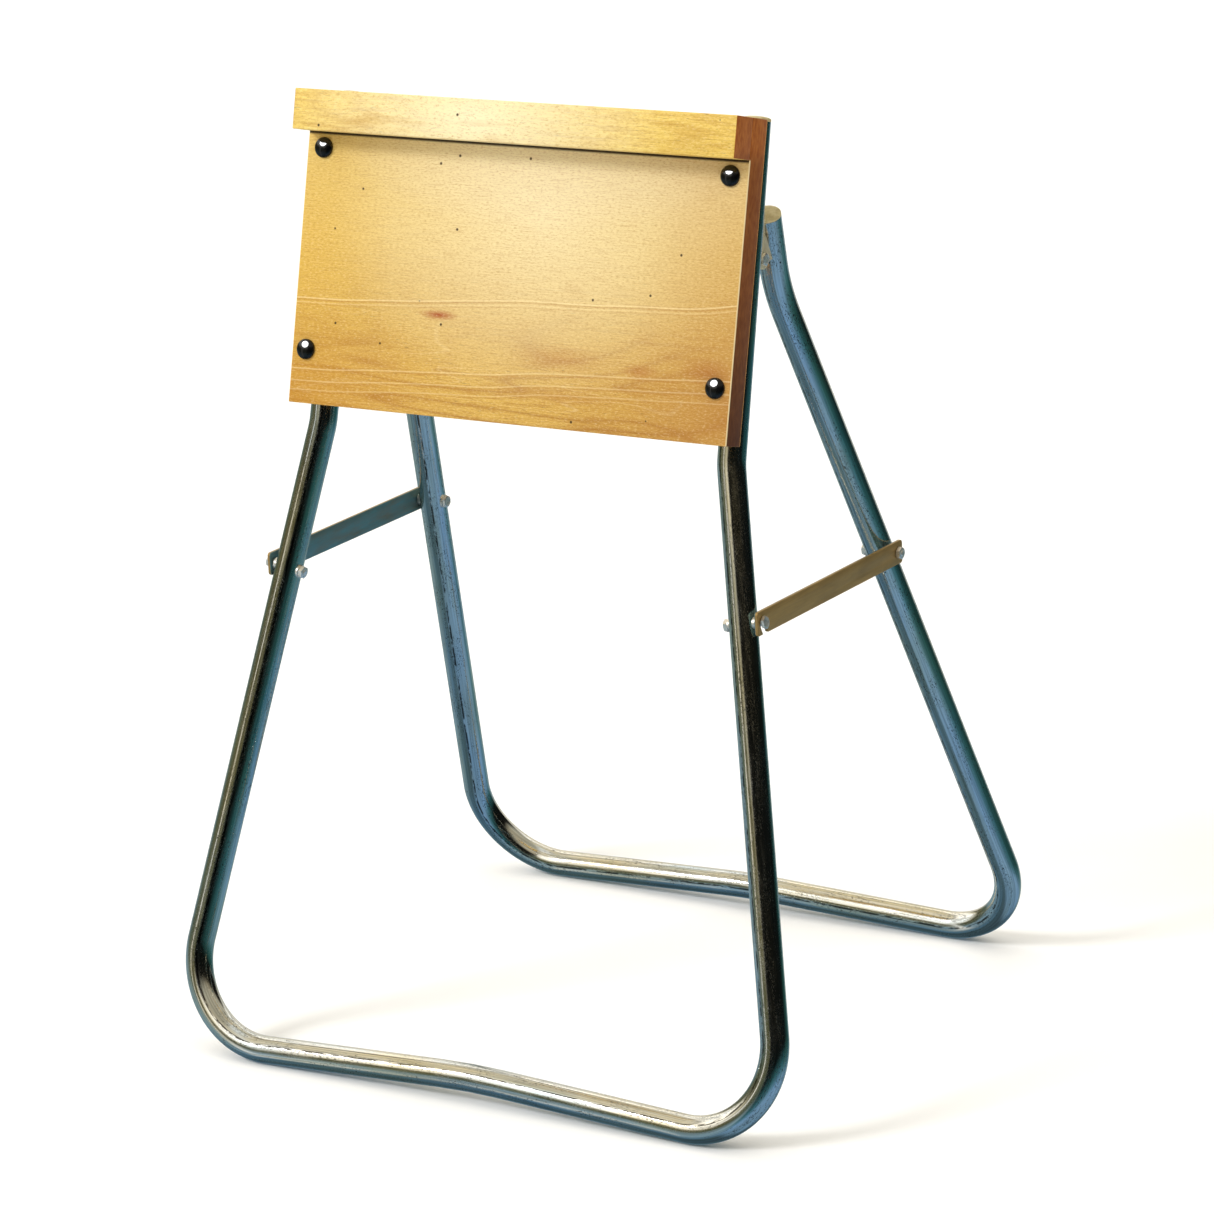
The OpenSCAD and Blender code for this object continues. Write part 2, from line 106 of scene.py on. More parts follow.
def solids(node, place):
    """The box of each separate solid of a CAD node, in the axes of place."""
    mesh = bmesh.new()
    mesh.from_mesh(frame["nodes"][node].data)
    bmesh.ops.remove_doubles(mesh, verts=mesh.verts, dist=0.01 * MM)
    back, left, found = place.inverted(), set(mesh.verts), []
    while left:
        group, edge = set(), [min(left, key=lambda v: v.index)]
        while edge:
            v = edge.pop()
            if v not in group:
                group.add(v)
                edge += [e.other_vert(v) for e in v.link_edges]
        left -= group
        points = [back @ v.co for v in group]
        low = Vector([min(p[i] for p in points) for i in range(3)])
        high = Vector([max(p[i] for p in points) for i in range(3)])
        found.append((low, high))
    mesh.free()
    return sorted(found, key=lambda b: tuple(round(c, 5) for c in b[0]))


# ---- Building meshes ----

# Edges sharper than this, in degrees, stay sharp: on turned and swept shapes, and on flat ones
SMOOTH_TURNED, SMOOTH_FLAT = 35, 30


class Shape:
    """Collects the surfaces of one piece, with each point's place in the piece's own axes."""

    def __init__(self):
        self.points, self.local, self.faces = [], [], []

    def loft(self, rings, place, local=None, ring_closed=False):
        """Joins rings of points, given in the axes of place, into one closed surface."""
        start, count = len(self.points), len(rings[0])
        for i, ring in enumerate(rings):
            for j, p in enumerate(ring):
                self.points.append(place @ Vector(p))
                self.local.append(Vector(local[i][j]) if local else Vector(p))
        pairs = [(i, i + 1) for i in range(len(rings) - 1)]
        if ring_closed:
            pairs.append((len(rings) - 1, 0))
        for a, b in pairs:
            for j in range(count):
                k = (j + 1) % count
                corners = (a * count + j, a * count + k, b * count + k, b * count + j)
                self.faces.append([start + c for c in corners])
        if not ring_closed:
            self.faces.append([start + j for j in reversed(range(count))])
            self.faces.append([start + (len(rings) - 1) * count + j for j in range(count)])

    def piece(self, name, body, paint, nodes, slot):
        """Makes the collected surfaces one object that rides on body and stands for nodes."""
        mesh = bpy.data.meshes.new(name)
        mesh.from_pydata([tuple(p) for p in self.points], [], self.faces)
        write_local(mesh, self.local)
        tidy_normals(mesh, SMOOTH_TURNED)
        return settle(mesh, name, body, paint, nodes, slot)


def write_local(mesh, points):
    """Stores each point's place in the piece's own axes, for the materials."""
    attribute = mesh.attributes.new(LOCAL, "FLOAT_VECTOR", "POINT")
    attribute.data.foreach_set("vector", [c for p in points for c in p])


def tidy_normals(mesh, smooth_below):
    """Turns all faces outwards and shades them smooth, except across edges sharper than that."""
    work = bmesh.new()
    work.from_mesh(mesh)
    bmesh.ops.recalc_face_normals(work, faces=work.faces)
    work.to_mesh(mesh)
    work.free()
    mesh.polygons.foreach_set("use_smooth", [True] * len(mesh.polygons))
    mesh.set_sharp_from_angle(angle=math.radians(smooth_below))
    mesh.update()


def settle(mesh, name, body, paint, nodes, slot):
    """Links a finished mesh as a piece of the object."""
    mesh.materials.append(paint)
    piece = bpy.data.objects.new(name, mesh)
    bpy.context.scene.collection.objects.link(piece)
    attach(piece, body)
    if nodes:
        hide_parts(*nodes)
    return piece


def circle(r, z, count):
    """Points round Z at a height."""
    step = math.tau / count
    return [(r * math.cos(i * step), r * math.sin(i * step), z) for i in range(count)]


def lathe(shape, place, profile, count=48, bored=False):
    """Turns a profile of (radius, height) points about Z. A bored one joins up with itself."""
    rings = [circle(r, z, count) for r, z in profile]
    shape.loft(rings, place, ring_closed=bored)


def quarter(radius, base, rise, step):
    """The profile of a dome over base, a point to each step degrees, with a small flat on top."""
    angles = [math.radians(step * i) for i in range(90 // step)]
    return [(radius * math.cos(a), base + rise * math.sin(a)) for a in angles]


def rounded(profile, r):
    """The profile with each corner between its ends rounded off."""
    made, steps = [profile[0]], 3
    for a, b, c in zip(profile, profile[1:], profile[2:]):
        a, b, c = Vector(a), Vector(b), Vector(c)
        back, on = (a - b), (c - b)
        cut = min(r, back.length / 2.2, on.length / 2.2)  # less than half of either side
        p, q = b + back.normalized() * cut, b + on.normalized() * cut
        for i in range(steps + 1):
            t = i / steps
            made.append(tuple(p * (1 - t) ** 2 + b * 2 * t * (1 - t) + q * t ** 2))
    return made + [profile[-1]]


def ring_washer(shape, place, outer, inner, low, high):
    """A washer or a sleeve, with its outer edges taken off."""
    edge = 0.25 * MM
    profile = [(inner, low), (outer - edge, low), (outer, low + edge), (outer, high - edge),
               (outer - edge, high), (inner, high)]
    lathe(shape, place, profile, bored=True)


def hexagon(af, angle):
    """Radius of a hexagon of width af across its flats, in a direction."""
    sixth = math.tau / 6
    return af / 2 / math.cos((angle + sixth / 2) % sixth - sixth / 2)


HEX_POINTS = 60


def hex_rings(af, low, high, both_ends):
    """Side rings of a hexagon whose corners are turned down to a cone, bottom first."""
    flat, slope = af / 2 * 0.96, math.tan(math.radians(30))
    angles = [math.tau * i / HEX_POINTS for i in range(HEX_POINTS)]
    spread = [hexagon(af, a) for a in angles]
    drop = [(r - flat) * slope for r in spread]

    def ring(z, sign, cut):
        return [
            (r * math.cos(a), r * math.sin(a), z + sign * (d if cut else 0))
            for r, a, d in zip(spread, angles, drop)
        ]

    bottom = [circle(flat, low, HEX_POINTS)] if both_ends else []
    top = [ring(high, -1, True), circle(flat, high, HEX_POINTS)]
    return bottom + [ring(low, 1, both_ends)] + top


def hex_nut(shape, place, af, bore, low, high):
    """A nut chamfered at both ends, with a countersunk bore."""
    sink = 0.5 * MM
    hole = ((bore + sink, high), (bore, high - sink), (bore, low + sink), (bore + sink, low))
    rings = hex_rings(af, low, high, True) + [circle(r, z, HEX_POINTS) for r, z in hole]
    shape.loft(rings, place, ring_closed=True)


def hex_head(shape, place, af, low, high):
    """A bolt's head on its washer face, with a dished top whose corners are turned down."""
    collar, dish = 0.35 * MM, 0.25 * MM
    foot = [circle(af * 0.47, low, HEX_POINTS)]
    hollow = [circle(af * 0.36, high, HEX_POINTS), circle(af * 0.33, high - dish, HEX_POINTS)]
    shape.loft(foot + hex_rings(af, low + collar, high, False) + hollow, place)


def thread(shape, place, r, low, high, pitch):
    """A threaded rod: a helical groove turned into a cylinder, with a chamfered end at low."""
    count, per_turn = 36, 10
    depth, narrowing, tip = 0.54 * pitch, 2.6, 0.82
    steps = max(4, round((high - low) / pitch * per_turn))
    rings = []
    for i in range(steps + 1):
        z = low + (high - low) * i / steps
        end = min(1.0, (z - low) / pitch)
        ring = []
        for j in range(count):
            phase = (z / pitch - j / count) % 1
            cut = depth * max(0.0, 1 - abs(phase - 0.5) * narrowing)
            radius = (r - cut) * (tip + (1 - tip) * end)
            a = math.tau * j / count
            ring.append((radius * math.cos(a), radius * math.sin(a), z))
        rings.append(ring)
    shape.loft(rings, place)


def plank(name, low, high, place, body, paint, nodes, slot, edge):
    """A board with eased edges, between two corners in the axes of place."""
    work = bmesh.new()
    bmesh.ops.create_cube(work, size=1)
    size, middle = high - low, (low + high) / 2
    for v in work.verts:
        v.co = Vector(a * b for a, b in zip(v.co, size)) + middle
    bmesh.ops.bevel(work, geom=work.edges[:], offset=edge, segments=3, profile=0.5, affect="EDGES")
    mesh = bpy.data.meshes.new(name)
    work.to_mesh(mesh)
    work.free()
    write_local(mesh, [v.co.copy() for v in mesh.vertices])
    mesh.transform(place)
    tidy_normals(mesh, SMOOTH_FLAT)
    return settle(mesh, name, body, paint, nodes, slot)


def shed_crumbs(work):
    """Deletes the pairs of faces that easing leaves back to back on the same corners."""
    bmesh.ops.remove_doubles(work, verts=work.verts, dist=0.003 * MM)
    work.verts.index_update()
    same = {}
    for face in work.faces:
        same.setdefault(frozenset(v.index for v in face.verts), []).append(face)
    doubled = [face for faces in same.values() if len(faces) > 1 for face in faces]
    bmesh.ops.delete(work, geom=doubled, context="FACES_ONLY")


def softened(node, name, place, body, paint, slot, edge):
    """A CAD plate with its sharp edges eased, as sheared and tumbled steel has them."""
    same_point, flat, sharp_from = 0.02 * MM, math.radians(1), math.radians(40)
    work = bmesh.new()
    work.from_mesh(frame["nodes"][node].data)
    bmesh.ops.remove_doubles(work, verts=work.verts, dist=same_point)
    bmesh.ops.dissolve_limit(work, angle_limit=flat, verts=work.verts[:], edges=work.edges[:],
                             use_dissolve_boundaries=False)
    sharp = [e for e in work.edges
             if len(e.link_faces) == 2 and e.calc_face_angle() > sharp_from]
    bmesh.ops.bevel(work, geom=sharp, offset=edge, segments=2, profile=0.5, affect="EDGES",
                    clamp_overlap=True)
    bmesh.ops.triangulate(work, faces=work.faces[:])
    shed_crumbs(work)
    mesh = bpy.data.meshes.new(name)
    work.to_mesh(mesh)
    work.free()
    back = place.inverted()
    write_local(mesh, [back @ v.co for v in mesh.vertices])
    tidy_normals(mesh, SMOOTH_FLAT)
    return settle(mesh, name, body, paint, [node], slot)


# ---- Bent tubes ----


def heading(v):
    """The angle of a direction in a tube's plane."""
    return math.atan2(v.y, v.x)


def ray(a):
    """The direction at an angle."""
    return Vector((math.cos(a), math.sin(a)))


def cross(a, b):
    return a.x * b.y - a.y * b.x


def meet(p, a, q, b):
    """The point where the line from p with heading a meets the line from q with heading b."""
    return p + ray(a) * cross(q - p, ray(b)) / cross(ray(a), ray(b))


def tangent(p, c, r, side):
    """Heading of the tangent from p to the circle of radius r round c."""
    return heading(c - p) + side * math.asin(r / (c - p).length)


def whole_path(tube, drop):
    """The corners of a tube's axis in its own plane, in metres, and the bend at each."""
    knee = Vector((tube["knee_x"], -tube["knee"]))
    centre = Vector((tube["foot_x"], tube["foot_r"] - drop))
    middle = Vector((0, tube["rise"] - drop))
    down = tangent(knee, centre, tube["foot_r"], 1)
    along = tangent(middle, centre, tube["foot_r"], -1)
    half = [Vector((tube["top_x"], tube["top"])), knee, meet(knee, down, middle, along), middle]
    points = half + [Vector((-p.x, p.y)) for p in reversed(half[:-1])]
    bends = [0, tube["knee_r"], tube["foot_r"], tube["mid_r"]]
    return [p * MM for p in points], [b * MM for b in bends + bends[-2::-1]]


def lowest_drop(tube, lean):
    """Drop from the hinge to the lowest point of a tube's axis, in millimetres."""
    return (PIVOT.z / MM + tube["reach"] * math.sin(lean) - TUBE_D / 2) / math.cos(lean)


def axis_samples(points, bends, arc_step=math.radians(2.5), run_step=12 * MM):
    """Points and headings along a bent bar's axis, close together in the bends."""
    samples, position = [], points[0]
    for i in range(1, len(points)):
        a, b = points[i - 1], points[i]
        h = heading(b - a)
        last = i == len(points) - 1
        turn = 0 if last else (heading(points[i + 1] - b) - h + math.pi) % math.tau - math.pi
        cut = 0 if last else bends[i] * math.tan(abs(turn) / 2)
        end = b - ray(h) * cut
        steps = max(1, round((end - position).length / run_step))
        samples += [(position.lerp(end, k / steps), h) for k in range(steps)]
        position = end
        if not last:
            side = math.copysign(1, turn)
            centre = end + side * bends[i] * ray(h + math.pi / 2)
            steps = max(2, math.ceil(abs(turn) / arc_step))
            for k in range(steps):
                now = h + turn * k / steps
                samples.append((centre - side * bends[i] * ray(now + math.pi / 2), now))
            now = h + turn
            position = centre - side * bends[i] * ray(now + math.pi / 2)
    samples.append((position, heading(points[-1] - points[-2])))
    return samples


def bent_tube(name, tube, plane, lean, body, paint, node, slot):
    """A hollow tube swept along its bent axis. LOCAL holds the run along it and its section."""
    points, bends = whole_path(tube, lowest_drop(tube, lean))
    samples = axis_samples(points, bends)
    runs, run = [], 0.0
    for i, (p, _) in enumerate(samples):
        run += (p - samples[i - 1][0]).length if i else 0
        runs.append(run)
    rings, local, count = [], [], 56
    for r, order in ((TUBE_R, range(len(samples))),
                     (TUBE_R - TUBE_WALL * MM, reversed(range(len(samples))))):
        for i in order:
            p, h = samples[i]
            across = ray(h + math.pi / 2)
            ring, own = [], []
            for j in range(count):
                a = math.tau * j / count
                side = across * r * math.cos(a)
                ring.append((p.x + side.x, p.y + side.y, r * math.sin(a)))
                own.append((runs[i], r * math.cos(a), r * math.sin(a)))
            rings.append(ring)
            local.append(own)
    shape = Shape()
    shape.loft(rings, plane, local, ring_closed=True)
    return shape.piece(name, body, paint, [node], slot)


# ---- Materials ----


class Nodes:
    """Short calls for the nodes that a node tree is made of."""

    def __init__(self, tree):
        self.tree = tree

    def node(self, kind, inputs=(), **settings):
        """A shader node, whose inputs are sockets to link from, or values."""
        made = self.tree.nodes.new("ShaderNode" + kind)
        for key, value in settings.items():
            setattr(made, key, value)
        for key, value in dict(inputs).items():
            if isinstance(value, bpy.types.NodeSocket):
                self.tree.links.new(value, made.inputs[key])
            else:
                made.inputs[key].default_value = value
        return made

    def noise(self, vector, scale, detail, roughness, distortion=0.0):
        inputs = {"Vector": vector, "Scale": scale, "Detail": detail, "Roughness": roughness,
                  "Distortion": distortion}
        return self.node("TexNoise", inputs).outputs["Fac"]

    def cells(self, vector, scale):
        """The distance from the middle of the nearest of many scattered cells."""
        return self.node("TexVoronoi", {"Vector": vector, "Scale": scale}).outputs["Distance"]

    def ramp(self, value, *stops):
        """A value or colour by position: stops are (position, grey) or (position, (r, g, b))."""
        made = self.node("ValToRGB", {"Fac": value})
        elements = made.color_ramp.elements
        while len(elements) < len(stops):
            elements.new(0.5)
        for element, (position, colour) in zip(elements, stops):
            element.position = position
            grey = not isinstance(colour, tuple)
            element.color = (colour, colour, colour, 1) if grey else (*colour, 1)
        return made.outputs["Color"]

    def mix(self, share, a, b, how="MIX"):
        """Colour a with that share of colour b over it."""
        made = self.tree.nodes.new("ShaderNodeMix")
        made.data_type, made.blend_type = "RGBA", how
        for key, value in ((0, share), (6, a), (7, b)):
            if isinstance(value, bpy.types.NodeSocket):
                self.tree.links.new(value, made.inputs[key])
            elif key:
                made.inputs[key].default_value = (*value, 1)
            else:
                made.inputs[key].default_value = value
        return made.outputs[2]

    def maths(self, how, a, b=0.0, c=0.0):
        return self.node("Math", {0: a, 1: b, 2: c}, operation=how).outputs[0]

    def axis(self, vector, name):
        return self.node("SeparateXYZ", {0: vector}).outputs[name]

    def span(self, value, low, high):
        """0 from low outwards and 1 from high outwards, running smoothly from one to the other.
        Low may be the greater of the two."""
        inputs = {"Value": value, "From Min": low, "From Max": high}
        return self.node("MapRange", inputs, interpolation_type="SMOOTHSTEP").outputs[0]

    def dot(self, vector, direction):
        inputs = {0: vector, 1: direction}
        return self.node("VectorMath", inputs, operation="DOT_PRODUCT").outputs["Value"]


class Paint(Nodes):
    """One node material on a Principled shader."""

    def __init__(self, name, **sockets):
        self.material = bpy.data.materials.new(name)
        self.material.use_nodes = True
        super().__init__(self.material.node_tree)
        self.shader = self.tree.nodes["Principled BSDF"]
        for key, value in sockets.items():
            self.shader.inputs[key.replace("_", " ")].default_value = value

    def local(self, scale=(1, 1, 1), shift=(0, 0, 0)):
        """The piece's own coordinates, in metres, scaled and shifted. A noise that reads them with
        a scale of its own of 1 has about as many features to a metre as each axis is scaled by."""
        read = self.node("Attribute", attribute_name=LOCAL)
        inputs = {"Vector": read.outputs["Vector"], "Scale": scale, "Location": shift}
        return self.node("Mapping", inputs).outputs[0]

    def spot(self, centre, radii):
        """1 at a place in the piece's own axes, falling to 0 at the radii."""
        scale = tuple(1 / r for r in radii)
        shift = tuple(-c / r for c, r in zip(centre, radii))
        inputs = {0: self.local(scale, shift)}
        far = self.node("VectorMath", inputs, operation="LENGTH").outputs["Value"]
        inputs = {"Value": far, "From Min": 1.0, "From Max": 0.0}
        return self.node("MapRange", inputs).outputs[0]

    def set(self, **sockets):
        """Links values to the shader's own sockets."""
        for key, value in sockets.items():
            self.tree.links.new(value, self.shader.inputs[key.replace("_", " ")])
        return self

    def bump(self, height, strength, depth):
        inputs = {"Height": height, "Strength": strength, "Distance": depth}
        self.set(Normal=self.node("Bump", inputs).outputs[0])
        return self


# A painted reflection, a broken dark line, runs along each tube's front: how far off the middle,
# and its half width from where it fades to where it is full, all as shares of the tube's radius
DARK_REFLECTION_LINE, DARK_REFLECTION_FADE, DARK_REFLECTION_FULL = 0.40, 0.08, 0.05


def plated_tube():
    """Bright plating with lengthwise polishing lines, patches and dark pits, with a painted
    reflection: a dark line along its front.
    """
    p = Paint("plated_tube", Metallic=1.0)
    drawn = p.noise(p.local((9, 700, 700)), 1.0, 4, 0.6)
    patches = p.noise(p.local((7, 60, 60)), 1.0, 3, 0.55, 0.4)
    colour = p.ramp(patches, (0.30, (0.70, 0.80, 0.86)), (0.46, (0.90, 0.90, 0.86)),
                    (0.62, (0.95, 0.88, 0.70)), (0.78, (0.66, 0.62, 0.44)))
    colour = p.mix(p.ramp(drawn, (0.36, 0.55), (0.60, 0.0)), colour, (0.34, 0.34, 0.28))
    pits = p.noise(p.local((420, 1500, 1500)), 1.0, 2, 0.7)
    worn = p.noise(p.local((22, 130, 130), (3, 1, 2)), 1.0, 3, 0.6)
    pitted = p.maths("MULTIPLY", p.ramp(pits, (0.56, 0.0), (0.62, 1.0)),
                     p.ramp(worn, (0.44, 0.0), (0.58, 1.0)))
    colour = p.mix(pitted, colour, (0.06, 0.05, 0.035))
    # The mask below is a painted reflection: a broken dark line along the tube's front
    gaps = p.noise(p.local((70, 300, 300), (4, 2, 6)), 1.0, 3, 0.7)
    breaks = p.ramp(gaps, (0.44, 0.0), (0.52, 1.0))
    aside = p.maths("ABSOLUTE", p.maths("ADD", p.axis(p.local(), "Y"), DARK_REFLECTION_LINE * TUBE_R))
    rubbed = p.maths("MULTIPLY", p.span(aside, DARK_REFLECTION_FADE * TUBE_R, DARK_REFLECTION_FULL * TUBE_R), breaks)
    rubbed = p.maths("MULTIPLY", rubbed, p.span(p.axis(p.local(), "Z"), 0.0, 0.2 * TUBE_R))
    colour = p.mix(p.maths("MULTIPLY", rubbed, 0.9), colour, (0.03, 0.025, 0.015))
    smears = p.noise(p.local((30, 260, 260), (1, 4, 2)), 1.0, 4, 0.65)
    rough = p.ramp(smears, (0.3, 0.07), (0.7, 0.22))
    p.set(Base_Color=colour, Roughness=p.mix(pitted, rough, (0.6, 0.6, 0.6)))
    dents = p.noise(p.local((45, 170, 170), (2, 5, 1)), 1.0, 4, 0.7)
    height = p.mix(0.6, p.mix(0.6, drawn, pits), dents)
    return p.bump(height, 0.45, 0.10 * MM).material


def flat_steel(name, warm, cool, dark):
    """Rolled bar or plate: lengthwise brushing, and an outer face warmer than the inner one."""
    p = Paint(name, Metallic=0.55)
    brushed = p.noise(p.local((30, 2600, 2600)), 1.0, 4, 0.6)
    stain = p.noise(p.local((25, 90, 90)), 1.0, 3, 0.6)
    depth_mm = p.axis(p.local((1, 1, 1 / MM)), "Z")
    colour = p.mix(p.ramp(depth_mm, (0.2, 0.0), (0.8, 1.0)), cool, warm)
    colour = p.mix(p.ramp(stain, (0.40, 0.0), (0.72, 0.45)), colour, dark)
    colour = p.mix(p.ramp(brushed, (0.35, 0.35), (0.6, 0.0)), colour, dark)
    p.set(Base_Color=colour, Roughness=p.ramp(brushed, (0.3, 0.34), (0.7, 0.55)))
    return p.bump(brushed, 0.35, 0.05 * MM).material


def zinc_plate():
    """Zinc-plated fasteners: pale, finely spangled, with duller patches."""
    p = Paint("zinc_plate", Metallic=0.85)
    spangle = p.cells(p.local(), 900)
    dull = p.noise(p.local(), 260, 3, 0.6)
    colour = p.ramp(dull, (0.35, (0.97, 0.95, 0.90)), (0.55, (0.93, 0.91, 0.85)),
                    (0.75, (0.66, 0.63, 0.55)))
    p.set(Base_Color=p.mix(p.ramp(spangle, (0.1, 0.0), (0.9, 0.18)), colour, (0.5, 0.55, 0.6)),
          Roughness=p.ramp(dull, (0.3, 0.24), (0.7, 0.42)))
    return p.bump(spangle, 0.12, 0.05 * MM).material


def black_enamel():
    """Black domed heads, glossy, with fine rubbed marks that show a little brown steel."""
    p = Paint("black_enamel", Metallic=0.0, Coat_Weight=1.0, Coat_Roughness=0.03, Coat_IOR=1.42,
              Specular_IOR_Level=0.05)
    marks = p.noise(p.local(), 700, 4, 0.7)
    colour = p.ramp(marks, (0.55, (0.003, 0.003, 0.003)), (0.78, (0.020, 0.017, 0.012)))
    p.set(Base_Color=colour, Roughness=p.ramp(marks, (0.3, 0.16), (0.8, 0.30)))
    return p.bump(marks, 0.15, 0.05 * MM).material


def cream_plastic():
    """Moulded end plugs: warm cream, slightly mottled, with dirt in the texture."""
    p = Paint("cream_plastic", Specular_IOR_Level=0.3, Subsurface_Weight=0.05,
              Subsurface_Radius=(2 * MM, 1.4 * MM, 0.8 * MM))
    mottled = p.noise(p.local(), 160, 4, 0.6)
    grit = p.noise(p.local(), 1800, 2, 0.6)
    colour = p.ramp(mottled, (0.3, (0.40, 0.32, 0.15)), (0.55, (0.54, 0.45, 0.23)),
                    (0.8, (0.66, 0.58, 0.36)))
    p.set(Base_Color=p.mix(p.ramp(grit, (0.62, 0.0), (0.74, 0.5)), colour, (0.2, 0.16, 0.08)),
          Roughness=p.ramp(mottled, (0.3, 0.62), (0.7, 0.42)))
    return p.bump(grit, 0.15, 0.1 * MM).material


def wood(name, dark, light, vein, figure):
    """Varnished softwood with its grain along X: growth rings, of a strength that figure gives,
    a fine even grain, dark pores and streaks. Returns the paint, its colour and the fine grain."""
    p = Paint(name, Coat_Weight=0.12, Coat_Roughness=0.30, Specular_IOR_Level=0.25)
    broad = p.noise(p.local((1.6, 5, 5), (0.4, 0.3, 0)), 1.0, 3, 0.5)
    colour = p.ramp(broad, (0.30, dark), (0.70, light))
    field = p.noise(p.local((2.2, 13, 13), (1.3, 0.2, 0.1)), 1.0, 2, 0.45, 0.3)
    rings = p.maths("PINGPONG", p.maths("MULTIPLY", field, 26.0), 1.0)
    late = p.ramp(rings, (0.0, 0.9), (0.16, 0.35), (0.5, 0.0))
    fine = p.noise(p.local((40, 1200, 1200)), 1.0, 5, 0.7)
    strength = figure(p)
    colour = p.mix(p.maths("MULTIPLY", late, strength), colour, vein)
    early = p.maths("MULTIPLY", p.ramp(rings, (0.955, 0.0), (0.985, 0.35)), strength)
    colour = p.mix(early, colour, (0.98, 0.82, 0.46))
    colour = p.mix(p.ramp(fine, (0.36, 0.42), (0.56, 0.0)), colour, vein)
    pores = p.noise(p.local((110, 1500, 1500)), 1.0, 2, 0.6)
    colour = p.mix(p.ramp(pores, (0.66, 0.0), (0.72, 0.8)), colour, (0.10, 0.045, 0.012))
    streaks = p.noise(p.local((14, 260, 260), (5, 2, 3)), 1.0, 3, 0.7)
    return p, p.mix(p.ramp(streaks, (0.34, 0.40), (0.46, 0.0)), colour, vein), fine


def speckled(p, colour, vein):
    """Scatters pin knots over the wood, and breaks its colour into fine grains."""
    grains = p.noise(p.local((300, 800, 800), (2, 1, 1)), 1.0, 3, 0.75)
    colour = p.mix(p.ramp(grains, (0.32, 0.50), (0.48, 0.0)), colour, vein)
    colour = p.mix(p.ramp(grains, (0.52, 0.0), (0.68, 0.30)), colour, (0.94, 0.80, 0.46))
    knots = p.ramp(p.cells(p.local(), 38), (0.040, 0.95), (0.056, 0.0))
    return p.mix(knots, colour, (0.06, 0.03, 0.01))


board_box = solids("transom_board", FRONT_PLANE)[0]
cleat_box = solids("top_cleat", FRONT_PLANE)[0]
BOARD_W, BOARD_H = board_box[1].x - board_box[0].x, board_box[1].y - board_box[0].y


def board_spot(p, across, up, width, height):
    """A soft spot on the board's face, placed and sized in shares of the board."""
    centre = (board_box[0].x + across * BOARD_W, board_box[0].y + up * BOARD_H, board_box[1].z)
    return p.spot(centre, (width * BOARD_W, height * BOARD_H, 1.0))


def board_share(p):
    """How far up the board a point is, from 0 at its bottom edge to 1 at its top."""
    return p.maths("DIVIDE", p.maths("SUBTRACT", p.axis(p.local(), "Y"), board_box[0].y), BOARD_H)


# Soft patches on the board, first to last, in shares of the board: how far across and up the
# middle is, the half width and half height, then how strong the patch is, and its colour
BOARD_PATCHES_AND_SHEEN = (
    # the pale middle and the pale top, partly painted sheen, and the greyer right end of it
    (0.56, 0.66, 0.50, 0.60, 0.80, (0.88, 0.76, 0.48)),
    (0.52, 0.98, 0.52, 0.38, 0.65, (0.92, 0.84, 0.64)),
    (0.92, 0.90, 0.30, 0.34, 0.50, (0.80, 0.67, 0.44)),
    # the golden left edge and its brown foot, the darker right edge and its brown foot
    (0.00, 0.45, 0.22, 0.50, 0.55, (0.68, 0.40, 0.04)),
    (0.00, 0.00, 0.42, 0.36, 0.75, (0.50, 0.22, 0.012)),
    (1.00, 0.36, 0.24, 0.70, 0.65, (0.54, 0.30, 0.085)),
    (1.00, 0.06, 0.42, 0.34, 0.60, (0.42, 0.17, 0.03)),
    # the knot, and the reddish blotches to the right of it
    (0.338, 0.32, 0.050, 0.018, 1.00, (0.34, 0.045, 0.012)),
    (0.62, 0.22, 0.12, 0.05, 0.40, (0.42, 0.15, 0.025)),
    (0.80, 0.20, 0.045, 0.03, 0.55, (0.40, 0.12, 0.02)),
    (0.95, 0.22, 0.07, 0.05, 0.55, (0.38, 0.11, 0.02)),
    (0.62, 0.10, 0.16, 0.03, 0.35, (0.42, 0.16, 0.025)),
)

# Light lines along the board, each with a dark one under it: how far up, and how strong. They
# wander by WANDER and climb by SLOPE across the board, in shares of its height
GRAIN_LINES = ((0.43, 0.40), (0.415, 0.20), (0.20, 0.30), (0.16, 0.25), (0.13, 0.20))
WANDER, SLOPE = 0.10, 0.10


def board_figure(p):
    """Strong growth rings at the board's foot, and hardly any above its middle."""
    return p.ramp(board_share(p), (0.0, 0.80), (0.26, 0.55), (0.40, 0.12), (1.0, 0.05))


def grain_lines(p, colour):
    """Draws the long light lines and the dark ones under them."""
    waves = p.noise(p.local((3.0, 4, 0), (0.6, 0.9, 0)), 1.0, 2, 0.5)
    height = p.maths("ADD", board_share(p), p.maths("MULTIPLY", waves, WANDER))
    height = p.maths("MULTIPLY_ADD", p.axis(p.local(), "X"), -SLOPE / BOARD_W, height)
    for share, strength in GRAIN_LINES:
        off = p.maths("SUBTRACT", height, share)
        off_dark = p.maths("ABSOLUTE", p.maths("ADD", off, 0.006))
        dark = p.maths("MULTIPLY", p.span(off_dark, 0.004, 0.001), strength * 0.8)
        colour = p.mix(dark, colour, (0.42, 0.16, 0.03))
        line = p.maths("MULTIPLY", p.span(p.maths("ABSOLUTE", off), 0.0032, 0.0008), strength)
        colour = p.mix(line, colour, (0.96, 0.82, 0.48))
    return colour


def cleat_shadow_and_grime(p, colour):
    """The dark line on the board's front where the cleat's lower edge meets it: painted shadow
    under the cleat, and grime in the gap.
    """
    off = p.maths("ABSOLUTE", p.maths("SUBTRACT", p.axis(p.local(), "Y"), cleat_box[0].y))
    front = p.span(p.axis(p.local(), "Z"), board_box[1].z - 2 * MM, board_box[1].z - 1 * MM)
    # Painted shadow under the cleat's edge, with grime in the gap
    near = p.maths("MULTIPLY", p.span(off, 3.2 * MM, 1.2 * MM), front)
    return p.mix(p.maths("MULTIPLY", near, 0.96), colour, (0.012, 0.004, 0.001))


